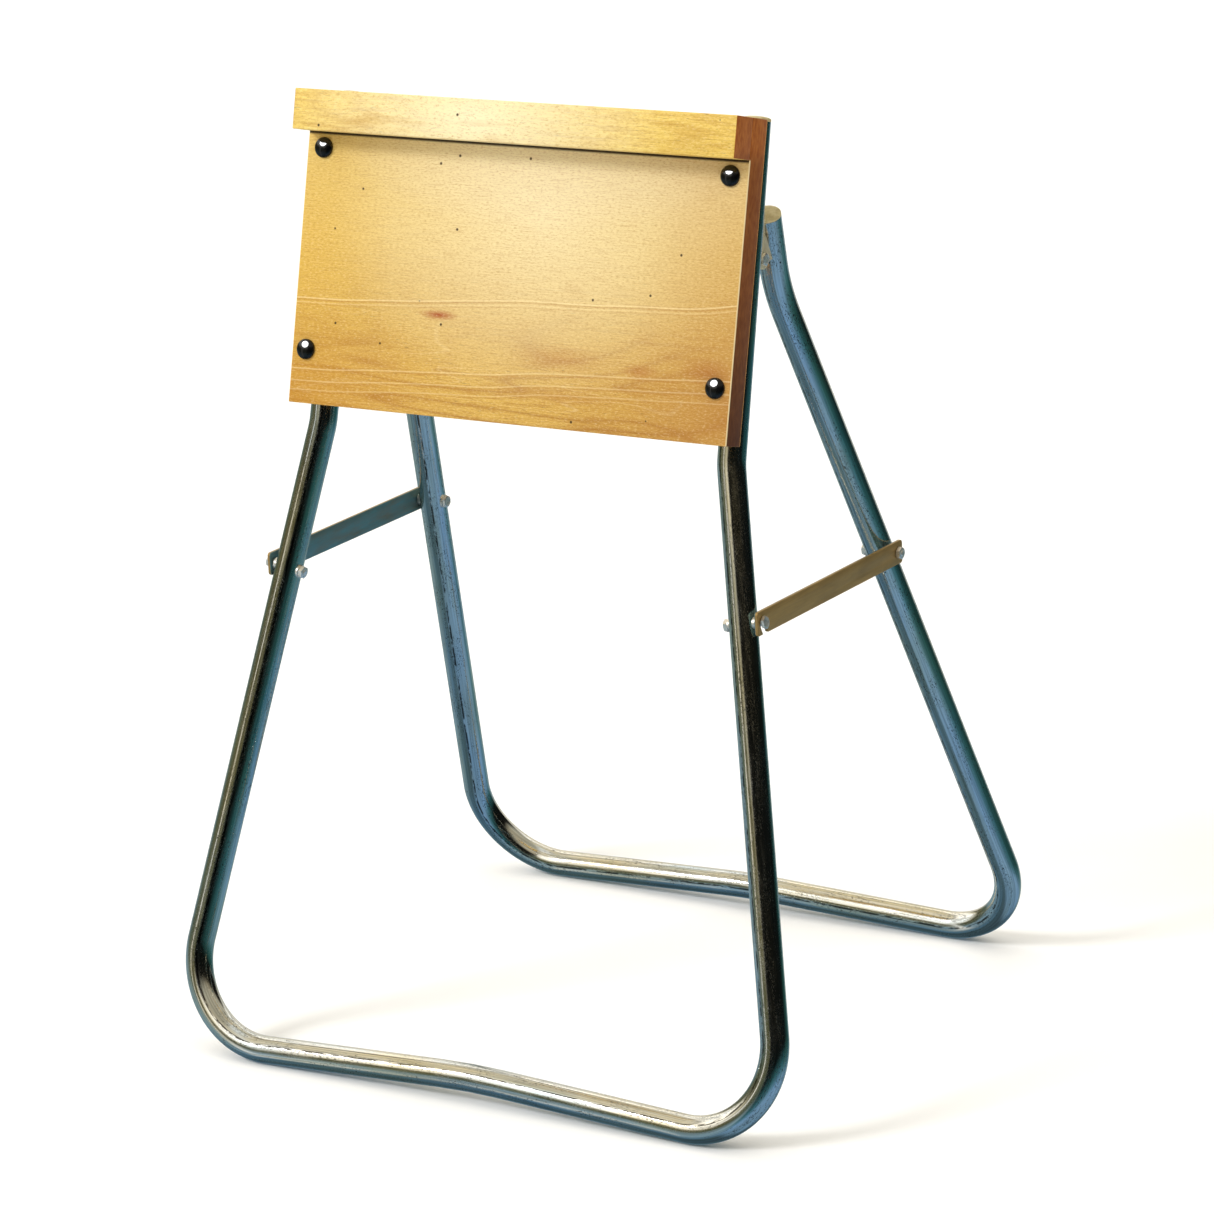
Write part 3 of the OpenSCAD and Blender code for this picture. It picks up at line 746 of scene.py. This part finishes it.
def end_grain(p, colour):
    """Turns the two faces across the grain to red-brown end grain, darker lower down, with a
    painted highlight: a pale line along its rear edge, and along its front edge below the cleat."""
    rings = p.noise(p.local((40, 120, 420), (0.3, 0.1, 0.2)), 1.0, 4, 0.6)
    pores = p.ramp(rings, (0.35, (0.36, 0.095, 0.013)), (0.62, (0.52, 0.17, 0.032)))
    shade = p.ramp(board_share(p), (0.0, 0.22), (0.5, 0.46), (0.86, 0.56), (0.90, 0.80))
    pores = p.mix(1.0, pores, shade, "MULTIPLY")
    reach = p.maths("ABSOLUTE", p.axis(p.local(), "X"))
    edge = p.maths("SUBTRACT", board_box[1].x - 0.5 * MM, reach)
    across = p.ramp(p.maths("MULTIPLY", edge, 1 / MM), (0.0, 1.0), (0.25, 0.0))
    depth = p.axis(p.local(), "Z")
    low = p.span(p.axis(p.local(), "Y"), cleat_box[0].y + 1 * MM, cleat_box[0].y - 1 * MM)
    # Painted highlights: pale lines along the side's rear edge and its front edge below the cleat
    for face, tone, share in ((board_box[0].z, (0.72, 0.36, 0.09), 1.0),
                              (board_box[1].z, (0.86, 0.70, 0.40), low)):
        off = p.maths("ABSOLUTE", p.maths("SUBTRACT", depth, face))
        line = p.maths("MULTIPLY", p.span(off, 1.6 * MM, 0.7 * MM), share)
        pores = p.mix(line, pores, tone)
    return p.mix(across, colour, pores)


def varnished(p, colour, fine):
    """Finishes a wooden piece: its end grain, and the fine grain in its gloss and its relief."""
    p.set(Base_Color=end_grain(p, colour), Roughness=p.ramp(fine, (0.3, 0.40), (0.7, 0.56)))
    return p.bump(fine, 0.3, 0.1 * MM).material


def board_wood():
    """The board: golden pine, palest in the middle of its top, partly painted sheen."""
    p, colour, fine = wood("board_wood", (0.55, 0.31, 0.050), (0.70, 0.46, 0.11),
                           (0.34, 0.13, 0.018), board_figure)
    # Paler towards the top: partly the wood, partly painted sheen
    paler_top_and_sheen = p.ramp(board_share(p), (0.10, 0.0), (0.55, 0.60), (1.0, 0.75))
    colour = p.mix(paler_top_and_sheen, colour, (0.78, 0.60, 0.20))
    for *place, share, tone in BOARD_PATCHES_AND_SHEEN:
        colour = p.mix(p.maths("MULTIPLY", board_spot(p, *place), share), colour, tone)
    colour = p.mix(p.ramp(fine, (0.36, 0.30), (0.50, 0.0)), colour, (0.45, 0.20, 0.03))
    colour = speckled(p, colour, (0.40, 0.17, 0.03))
    return varnished(p, cleat_shadow_and_grime(p, grain_lines(p, colour)), fine)


def cleat_wood():
    """The cleat: paler pine, with one pale patch of painted sheen and brown blotches."""
    vein = (0.46, 0.22, 0.03)
    p, colour, fine = wood("cleat_wood", (0.74, 0.49, 0.08), (0.84, 0.63, 0.17), vein,
                           lambda p: 0.30)
    # A painted highlight: the pale patch near the middle of the cleat
    pale = p.maths("MULTIPLY", board_spot(p, 0.42, 0.93, 0.42, 0.30), 0.85)
    colour = p.mix(pale, colour, (0.93, 0.87, 0.62))
    blotch = p.noise(p.local((9, 60, 60), (2, 1, 3)), 1.0, 3, 0.6)
    colour = p.mix(p.ramp(blotch, (0.55, 0.0), (0.72, 0.5)), colour, (0.52, 0.27, 0.04))
    return varnished(p, speckled(p, colour, vein), fine)


def pale_floor():
    """A plain pale studio floor, very faintly uneven."""
    p = Paint("pale_floor", Specular_IOR_Level=0.1, Roughness=0.9)
    read = p.node("NewGeometry")
    grain = p.noise(read.outputs["Position"], 9, 4, 0.6)
    p.set(Base_Color=p.ramp(grain, (0.3, (0.93, 0.94, 0.96)), (0.7, (0.95, 0.96, 0.98))))
    return p.material


# ---- The frames ----

TUBE = plated_tube()
BAR = flat_steel("strut_steel", (0.44, 0.29, 0.105), (0.10, 0.27, 0.33), (0.20, 0.13, 0.045))
LUG = flat_steel("lug_steel", (0.86, 0.76, 0.52), (0.52, 0.54, 0.52), (0.36, 0.30, 0.18))
ZINC = zinc_plate()
BLACK = black_enamel()
CREAM = cream_plastic()

bent_tube("front_tube_swept", FRONT, FRONT_PLANE, FRONT_LEAN, "front_frame", TUBE,
          "front_tube", "tube_steel")
bent_tube("rear_tube_swept", REAR, REAR_PLANE, REAR_LEAN, "rear_frame", TUBE,
          "rear_tube", "tube_steel")

EASED = 0.9 * MM
plank("board", *board_box, FRONT_PLANE, "front_frame", board_wood(), ["transom_board"],
      "board_wood", EASED)
plank("cleat", *cleat_box, FRONT_PLANE, "front_frame", cleat_wood(), ["top_cleat"],
      "cleat_wood", EASED)

# ---- Board bolts, with Z out of the board ----

NUT_BORE = BOLT_R * 0.9


def at(place, box):
    """place moved to the middle of a box in its own axes, leaving Z where it is."""
    middle = (box[0] + box[1]) / 2
    return place @ Matrix.Translation((middle.x, middle.y, 0))


heads, tails, nuts, washers = Shape(), Shape(), Shape(), Shape()
nut_boxes = solids("carriage_nuts", FRONT_PLANE)
washer_boxes = solids("carriage_washers", FRONT_PLANE)
for bolt, nut, washer in zip(solids("carriage_bolts", FRONT_PLANE), nut_boxes, washer_boxes):
    here = at(FRONT_PLANE, bolt)
    radius, face, rim = (bolt[1].x - bolt[0].x) / 2, board_box[1].z, board_box[1].z + 0.9 * MM
    dome = quarter(radius, rim, bolt[1].z - rim, 6)
    lathe(heads, here, [(radius * 0.9, face), (radius, face)] + dome)
    thread(tails, here, BOLT_R, bolt[0].z, nut[1].z, BOLT_PITCH)
    hex_nut(nuts, at(FRONT_PLANE, nut), HEX_AF, NUT_BORE, nut[0].z, nut[1].z)
    ring_washer(washers, at(FRONT_PLANE, washer), (washer[1].x - washer[0].x) / 2, BOLT_R,
                washer[0].z, washer[1].z)
bolt_heads = heads.piece("carriage_bolt_heads", "front_frame", BLACK, ["carriage_bolts"],
                         "black_bolt")
tails.piece("carriage_bolt_threads", "front_frame", ZINC, (), "zinc")
nuts.piece("carriage_bolt_nuts", "front_frame", ZINC, ["carriage_nuts"], "zinc")
washers.piece("carriage_bolt_washers", "front_frame", ZINC, ["carriage_washers"], "zinc")

# ---- Lugs and struts ----

SIDES = {"left": -1, "right": 1}


def side_axes(sign, along):
    """Axes whose X runs along a direction in the side view and whose Z points outwards."""
    out = Vector((sign, 0, 0))
    return axes(Vector((0, 0, 0)), along, out.cross(Vector(along)))


for side, sign in SIDES.items():
    for end, up in (("front", front_up), ("rear", rear_up)):
        node = f"{end}_{side}_lug"
        inner = min(abs(corner.x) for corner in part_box(node))
        place = side_axes(sign, up)
        place.translation = (sign * inner, 0, 0)
        softened(node, node + "_plate", place, end + "_frame", LUG, "lug_steel", 0.4 * MM)

    node = f"{side}_strut"
    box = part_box(node)
    pin = Vector(joints[f"{side}_strut_swing"]["pos_m"])
    size, outer = box[1] - box[0], max(abs(corner.x) for corner in box)
    along = (-sign * (size.x - STRUT_T) / size.y, -1, (size.z - STRUT_W) / size.y)
    place = side_axes(sign, along)
    place.translation = (sign * (outer - STRUT_T), pin.y, pin.z)
    softened(node, node + "_bar", place, f"{side}_strut_arm", BAR, "strut_steel", 0.5 * MM)

# ---- Hinge and strut fasteners ----

PLAIN = Vector((1, 0, 0))


def fastener_axes(sign, direction):
    """Axes whose Z runs along a bolt: direction on the right side, and mirrored on the left."""
    z = Vector((sign * direction[0], direction[1], direction[2])).normalized()
    y = z.cross(Vector((0, 0, 1))).normalized()
    return axes(Vector((0, 0, 0)), y, z.cross(y))


# The front strut bolts stand square to the flared legs
front_points = whole_path(FRONT, lowest_drop(FRONT, FRONT_LEAN))[0]
slant = math.pi / 2 + heading(front_points[2] - front_points[1])
slanted = math.cos(slant) * PLAIN + math.sin(slant) * front_up


def hex_bolt(name, node, body, sign, direction, head_out):
    """A hex bolt with its head outside or inside the leg, and its thread at the other end."""
    place = fastener_axes(sign, direction)
    (low, high), = solids(node, place)
    here = at(place, (low, high))
    shape = Shape()
    if head_out:
        face = high.z - HEAD_H
        hex_head(shape, here, HEX_AF, face, high.z)
        thread(shape, here, BOLT_R, low.z, face, BOLT_PITCH)
    else:
        face = low.z + HEAD_H
        flip = here @ Matrix.Rotation(math.pi, 4, "X")
        hex_head(shape, flip, HEX_AF, -face, -low.z)
        thread(shape, flip, BOLT_R, -high.z, -face, BOLT_PITCH)
    shape.piece(name, body, ZINC, [node], "zinc")


def hex_nuts(name, node, body, sided):
    """The nuts of a node, one for each (sign, direction)."""
    shape = Shape()
    for sign, direction in sided:
        place = fastener_axes(sign, direction)
        for low, high in solids(node, place):
            if (place @ ((low + high) / 2)).x * sign > 0:
                hex_nut(shape, at(place, (low, high)), HEX_AF, NUT_BORE, low.z, high.z)
    shape.piece(name, body, ZINC, [node], "zinc")


def rings_of(name, node, body, sided):
    """The washers or sleeves of a node, one for each (sign, direction)."""
    shape = Shape()
    for sign, direction in sided:
        place = fastener_axes(sign, direction)
        for low, high in solids(node, place):
            if (place @ ((low + high) / 2)).x * sign > 0:
                outer = (high.x - low.x) / 2
                ring_washer(shape, at(place, (low, high)), outer, BOLT_R, low.z, high.z)
    shape.piece(name, body, ZINC, [node], "zinc")


BOTH = [(sign, PLAIN) for sign in SIDES.values()]
BOTH_SLANTED = [(sign, slanted) for sign in SIDES.values()]
for side, sign in SIDES.items():
    hex_bolt(f"{side}_hinge_hex_bolt", f"{side}_hinge_bolt", "front_frame", sign, PLAIN, True)
    hex_nuts(f"{side}_hinge_hex_nut", f"{side}_hinge_nut", "front_frame", [(sign, PLAIN)])
    hex_bolt(f"front_{side}_strut_hex_bolt", f"front_{side}_strut_bolt", "front_frame", sign,
             slanted, True)
    hex_bolt(f"rear_{side}_strut_hex_bolt", f"rear_{side}_strut_bolt", "rear_frame", sign,
             PLAIN, False)
    rings_of(f"front_{side}_sleeve", f"front_{side}_spacer", "front_frame", [(sign, slanted)])
    rings_of(f"rear_{side}_sleeve", f"rear_{side}_spacer", "rear_frame", [(sign, PLAIN)])
rings_of("hinge_washer_rings", "hinge_washers", "front_frame", BOTH)
rings_of("front_saddle_washers", "front_saddles", "front_frame", BOTH_SLANTED)
rings_of("rear_saddle_washers", "rear_saddles", "rear_frame", BOTH)
hex_nuts("front_strut_hex_nuts", "front_strut_nuts", "front_frame", BOTH_SLANTED)
hex_nuts("rear_strut_hex_nuts", "rear_strut_nuts", "rear_frame", BOTH)

# ---- Plugs in the tubes' top ends ----


def plug(name, node, body, up):
    """A domed plug whose rim covers the end of a tube that points up."""
    place = fastener_axes(1, up)
    (low, high), = solids(node, place)
    here = at(place, (low, high))
    rim, step, lip = low.z + 16 * MM, 2 * MM, 2 * MM
    profile = [(TUBE_R - step, low.z), (TUBE_R - step, rim), (TUBE_R, rim)]
    profile += quarter(TUBE_R, rim + lip, high.z - rim - lip, 8)
    shape = Shape()
    lathe(shape, here, rounded(profile, 0.4 * MM))
    shape.piece(name, body, CREAM, [node], "cream_plastic")


rear_points = whole_path(REAR, lowest_drop(REAR, REAR_LEAN))[0]
for end, points, up in (("front", front_points, front_up), ("rear", rear_points, rear_up)):
    top = (points[0] - points[1]).normalized()
    for side, sign in SIDES.items():
        node = f"{end}_{side}_plug"
        plug(node + "_cap", node, end + "_frame", Vector((sign * top.x, 0, 0)) + top.y * up)

# ---- Cleat screws, countersunk in the board's back ----

screws = Shape()
for low, high in solids("cleat_screws", FRONT_PLANE):
    radius = (high.x - low.x) / 2
    sunk = radius / 2
    lathe(screws, at(FRONT_PLANE, (low, high)),
          [(radius * 0.25, low.z + 1.2 * MM), (radius * 0.35, low.z), (radius, low.z),
           (radius - sunk, low.z + sunk), (radius - sunk, high.z)], 32)
screws.piece("cleat_screw_heads", "front_frame", ZINC, ["cleat_screws"], "zinc")

# ---- Floor ----

FLOOR_REACH = 14
floor_mesh = bpy.data.meshes.new("floor")
floor_corners = [(x * FLOOR_REACH, y * FLOOR_REACH, 0)
                 for x, y in ((-1, -1), (1, -1), (1, 1), (-1, 1))]
floor_mesh.from_pydata(floor_corners, [], [(0, 1, 2, 3)])
floor_mesh.materials.append(pale_floor())
floor = bpy.data.objects.new("floor", floor_mesh)
bpy.context.scene.collection.objects.link(floor)
floor.visible_glossy = False

# ---- The room, which only reflections and soft light see ----

# Colours by height, which is the Z of a direction: from straight down to the horizon, from the
# horizon to straight up, and from straight down to straight up on the dark side
BELOW = (
    (0.00, (0.04, 0.07, 0.09)), (0.13, (0.05, 0.09, 0.11)), (0.29, (0.08, 0.16, 0.23)),
    (0.50, (0.20, 0.31, 0.38)), (0.74, (0.22, 0.33, 0.39)), (1.00, (0.17, 0.21, 0.21)),
)
ABOVE = (
    (0.00, (0.10, 0.13, 0.09)), (0.11, (0.13, 0.12, 0.06)), (0.19, (0.05, 0.05, 0.02)),
    (0.25, (0.60, 0.55, 0.38)), (0.34, (1.20, 1.16, 1.06)), (0.48, (1.70, 1.66, 1.55)),
    (0.525, (0.02, 0.02, 0.01)), (0.56, (1.60, 1.55, 1.45)), (0.69, (1.40, 1.34, 1.22)),
    (0.735, (0.05, 0.05, 0.03)), (0.77, (0.90, 0.82, 0.64)), (0.87, (0.70, 0.62, 0.44)),
    (0.94, (0.85, 0.80, 0.68)), (1.00, (0.95, 0.92, 0.84)),
)
DARK = (
    (0.00, (0.14, 0.25, 0.36)), (0.20, (0.19, 0.34, 0.54)), (0.29, (0.06, 0.17, 0.22)),
    (0.36, (0.022, 0.090, 0.098)), (0.42, (0.014, 0.050, 0.052)),
    (0.46, (0.004, 0.006, 0.006)), (0.70, (0.006, 0.006, 0.005)), (0.80, (0.48, 0.43, 0.32)),
)
PALE, CREAM_LIGHT, SEEN_BY_CAMERA = (0.80, 0.76, 0.66), (0.95, 0.92, 0.84), (0.93, 0.93, 0.92)
HORIZON, HORIZON_BLUR = -0.09, 0.03
DARK_SIDE = Vector((0.985, -0.17, 0))
PALE_BACK = Vector((-0.29, 0.957, 0))
STRIP, ACROSS_STRIP = Vector((-0.643, -0.766, 0)), Vector((0.766, -0.643, 0))
STRIP_FADE, STRIP_FULL = 0.075, 0.03


def studio_world():
    """A soft room: blue below, cream above and behind, with a dark side and a bright strip.
    The camera itself sees one plain colour."""
    world = bpy.data.worlds.new("studio")
    bpy.context.scene.world = world
    world.use_nodes = True
    world.node_tree.nodes.clear()
    sky = Nodes(world.node_tree)
    way = sky.node("TexCoord").outputs["Generated"]
    height = sky.axis(way, "Z")
    whole = sky.maths("MULTIPLY_ADD", height, 0.5, 0.5)
    below = sky.ramp(sky.maths("ADD", height, 1.0), *BELOW)
    above = sky.ramp(height, *ABOVE)
    over = sky.span(height, HORIZON - HORIZON_BLUR, HORIZON + HORIZON_BLUR)
    room = sky.mix(over, below, above)
    behind = sky.maths("MULTIPLY", sky.span(sky.dot(way, PALE_BACK), 0.80, 0.92),
                       sky.span(height, HORIZON - 0.2, HORIZON + 0.1))
    room = sky.mix(behind, room, PALE)
    off_strip = sky.maths("ABSOLUTE", sky.dot(way, ACROSS_STRIP))
    strip = sky.maths("MULTIPLY", sky.span(off_strip, STRIP_FADE, STRIP_FULL),
                      sky.span(sky.dot(way, STRIP), 0.2, 0.5))
    strip = sky.maths("MULTIPLY", strip, sky.span(height, -0.65, -0.45))
    room = sky.mix(strip, room, CREAM_LIGHT)
    dark = sky.span(sky.dot(way, DARK_SIDE), -0.06, 0.14)
    room = sky.mix(dark, room, sky.ramp(whole, *DARK))
    seen = sky.node("LightPath").outputs["Is Camera Ray"]
    room = sky.mix(seen, room, SEEN_BY_CAMERA)
    back = sky.node("Background", {"Color": room, "Strength": 1.0})
    out = sky.node("OutputWorld")
    sky.tree.links.new(back.outputs[0], out.inputs["Surface"])


studio_world()

# ---- Lights ----

KEY_FROM = (-0.507, -0.604, 0.616)


def sunlight(name, direction, strength, spread, colour=(1, 1, 1), glossy=True, diffuse=True):
    """A broad soft light from a direction, the same all over the floor. Its spread is in degrees,
    and it may be left out of highlights or of plain shading."""
    lamp = bpy.data.lights.new(name, "SUN")
    lamp.energy, lamp.angle, lamp.color = strength, math.radians(spread), colour
    holder = bpy.data.objects.new(name, lamp)
    bpy.context.scene.collection.objects.link(holder)
    holder.rotation_euler = Vector(direction).to_track_quat("Z", "Y").to_euler()
    holder.visible_glossy, holder.visible_diffuse = glossy, diffuse
    return holder


sunlight("key", KEY_FROM, 1.56, 16, (1.0, 0.99, 0.97), glossy=False)
sunlight("glint", KEY_FROM, 0.35, 7, diffuse=False)
# Gives the domed heads their white highlight, and reaches nothing else
head_light = sunlight("head_light", (-0.40, -0.62, 0.68), 24.0, 44, diffuse=False)
head_light.light_linking.receiver_collection = bpy.data.collections.new("domed_heads")
head_light.light_linking.receiver_collection.objects.link(bolt_heads)
sunlight("overhead", (0.05, -0.10, 1.0), 0.9, 70, glossy=False)
sunlight("fill", (0.95, -0.20, 0.45), 0.5, 50, (1.0, 0.97, 0.92), glossy=False)
bpy.context.scene.view_settings.view_transform = "Standard"

# ---- Camera, where the photo's was ----

CAMERA_AT = Vector((2.19021, -3.44596, 1.68899))
YAW, PITCH, ROLL = math.radians(32.239), math.radians(17.776), math.radians(-3.775)
LENS, SENSOR, FARTHEST = 141.15, 36, 60
camera_data = bpy.data.cameras.new("camera")
camera_data.lens, camera_data.sensor_width, camera_data.clip_end = LENS, SENSOR, FARTHEST
camera = bpy.data.objects.new("camera", camera_data)
bpy.context.scene.collection.objects.link(camera)
turn = Matrix.Rotation(YAW, 3, "Z")
ahead = turn @ Vector((0, math.cos(PITCH), -math.sin(PITCH)))
upward = turn @ Vector((0, math.sin(PITCH), math.cos(PITCH)))
right = turn @ Vector((1, 0, 0))
rolled_right = right * math.cos(ROLL) + upward * math.sin(ROLL)
rolled_up = upward * math.cos(ROLL) - right * math.sin(ROLL)
camera.matrix_world = Matrix.Translation(CAMERA_AT) @ Matrix(
    (rolled_right, rolled_up, -ahead)).transposed().to_4x4()
bpy.context.scene.camera = camera
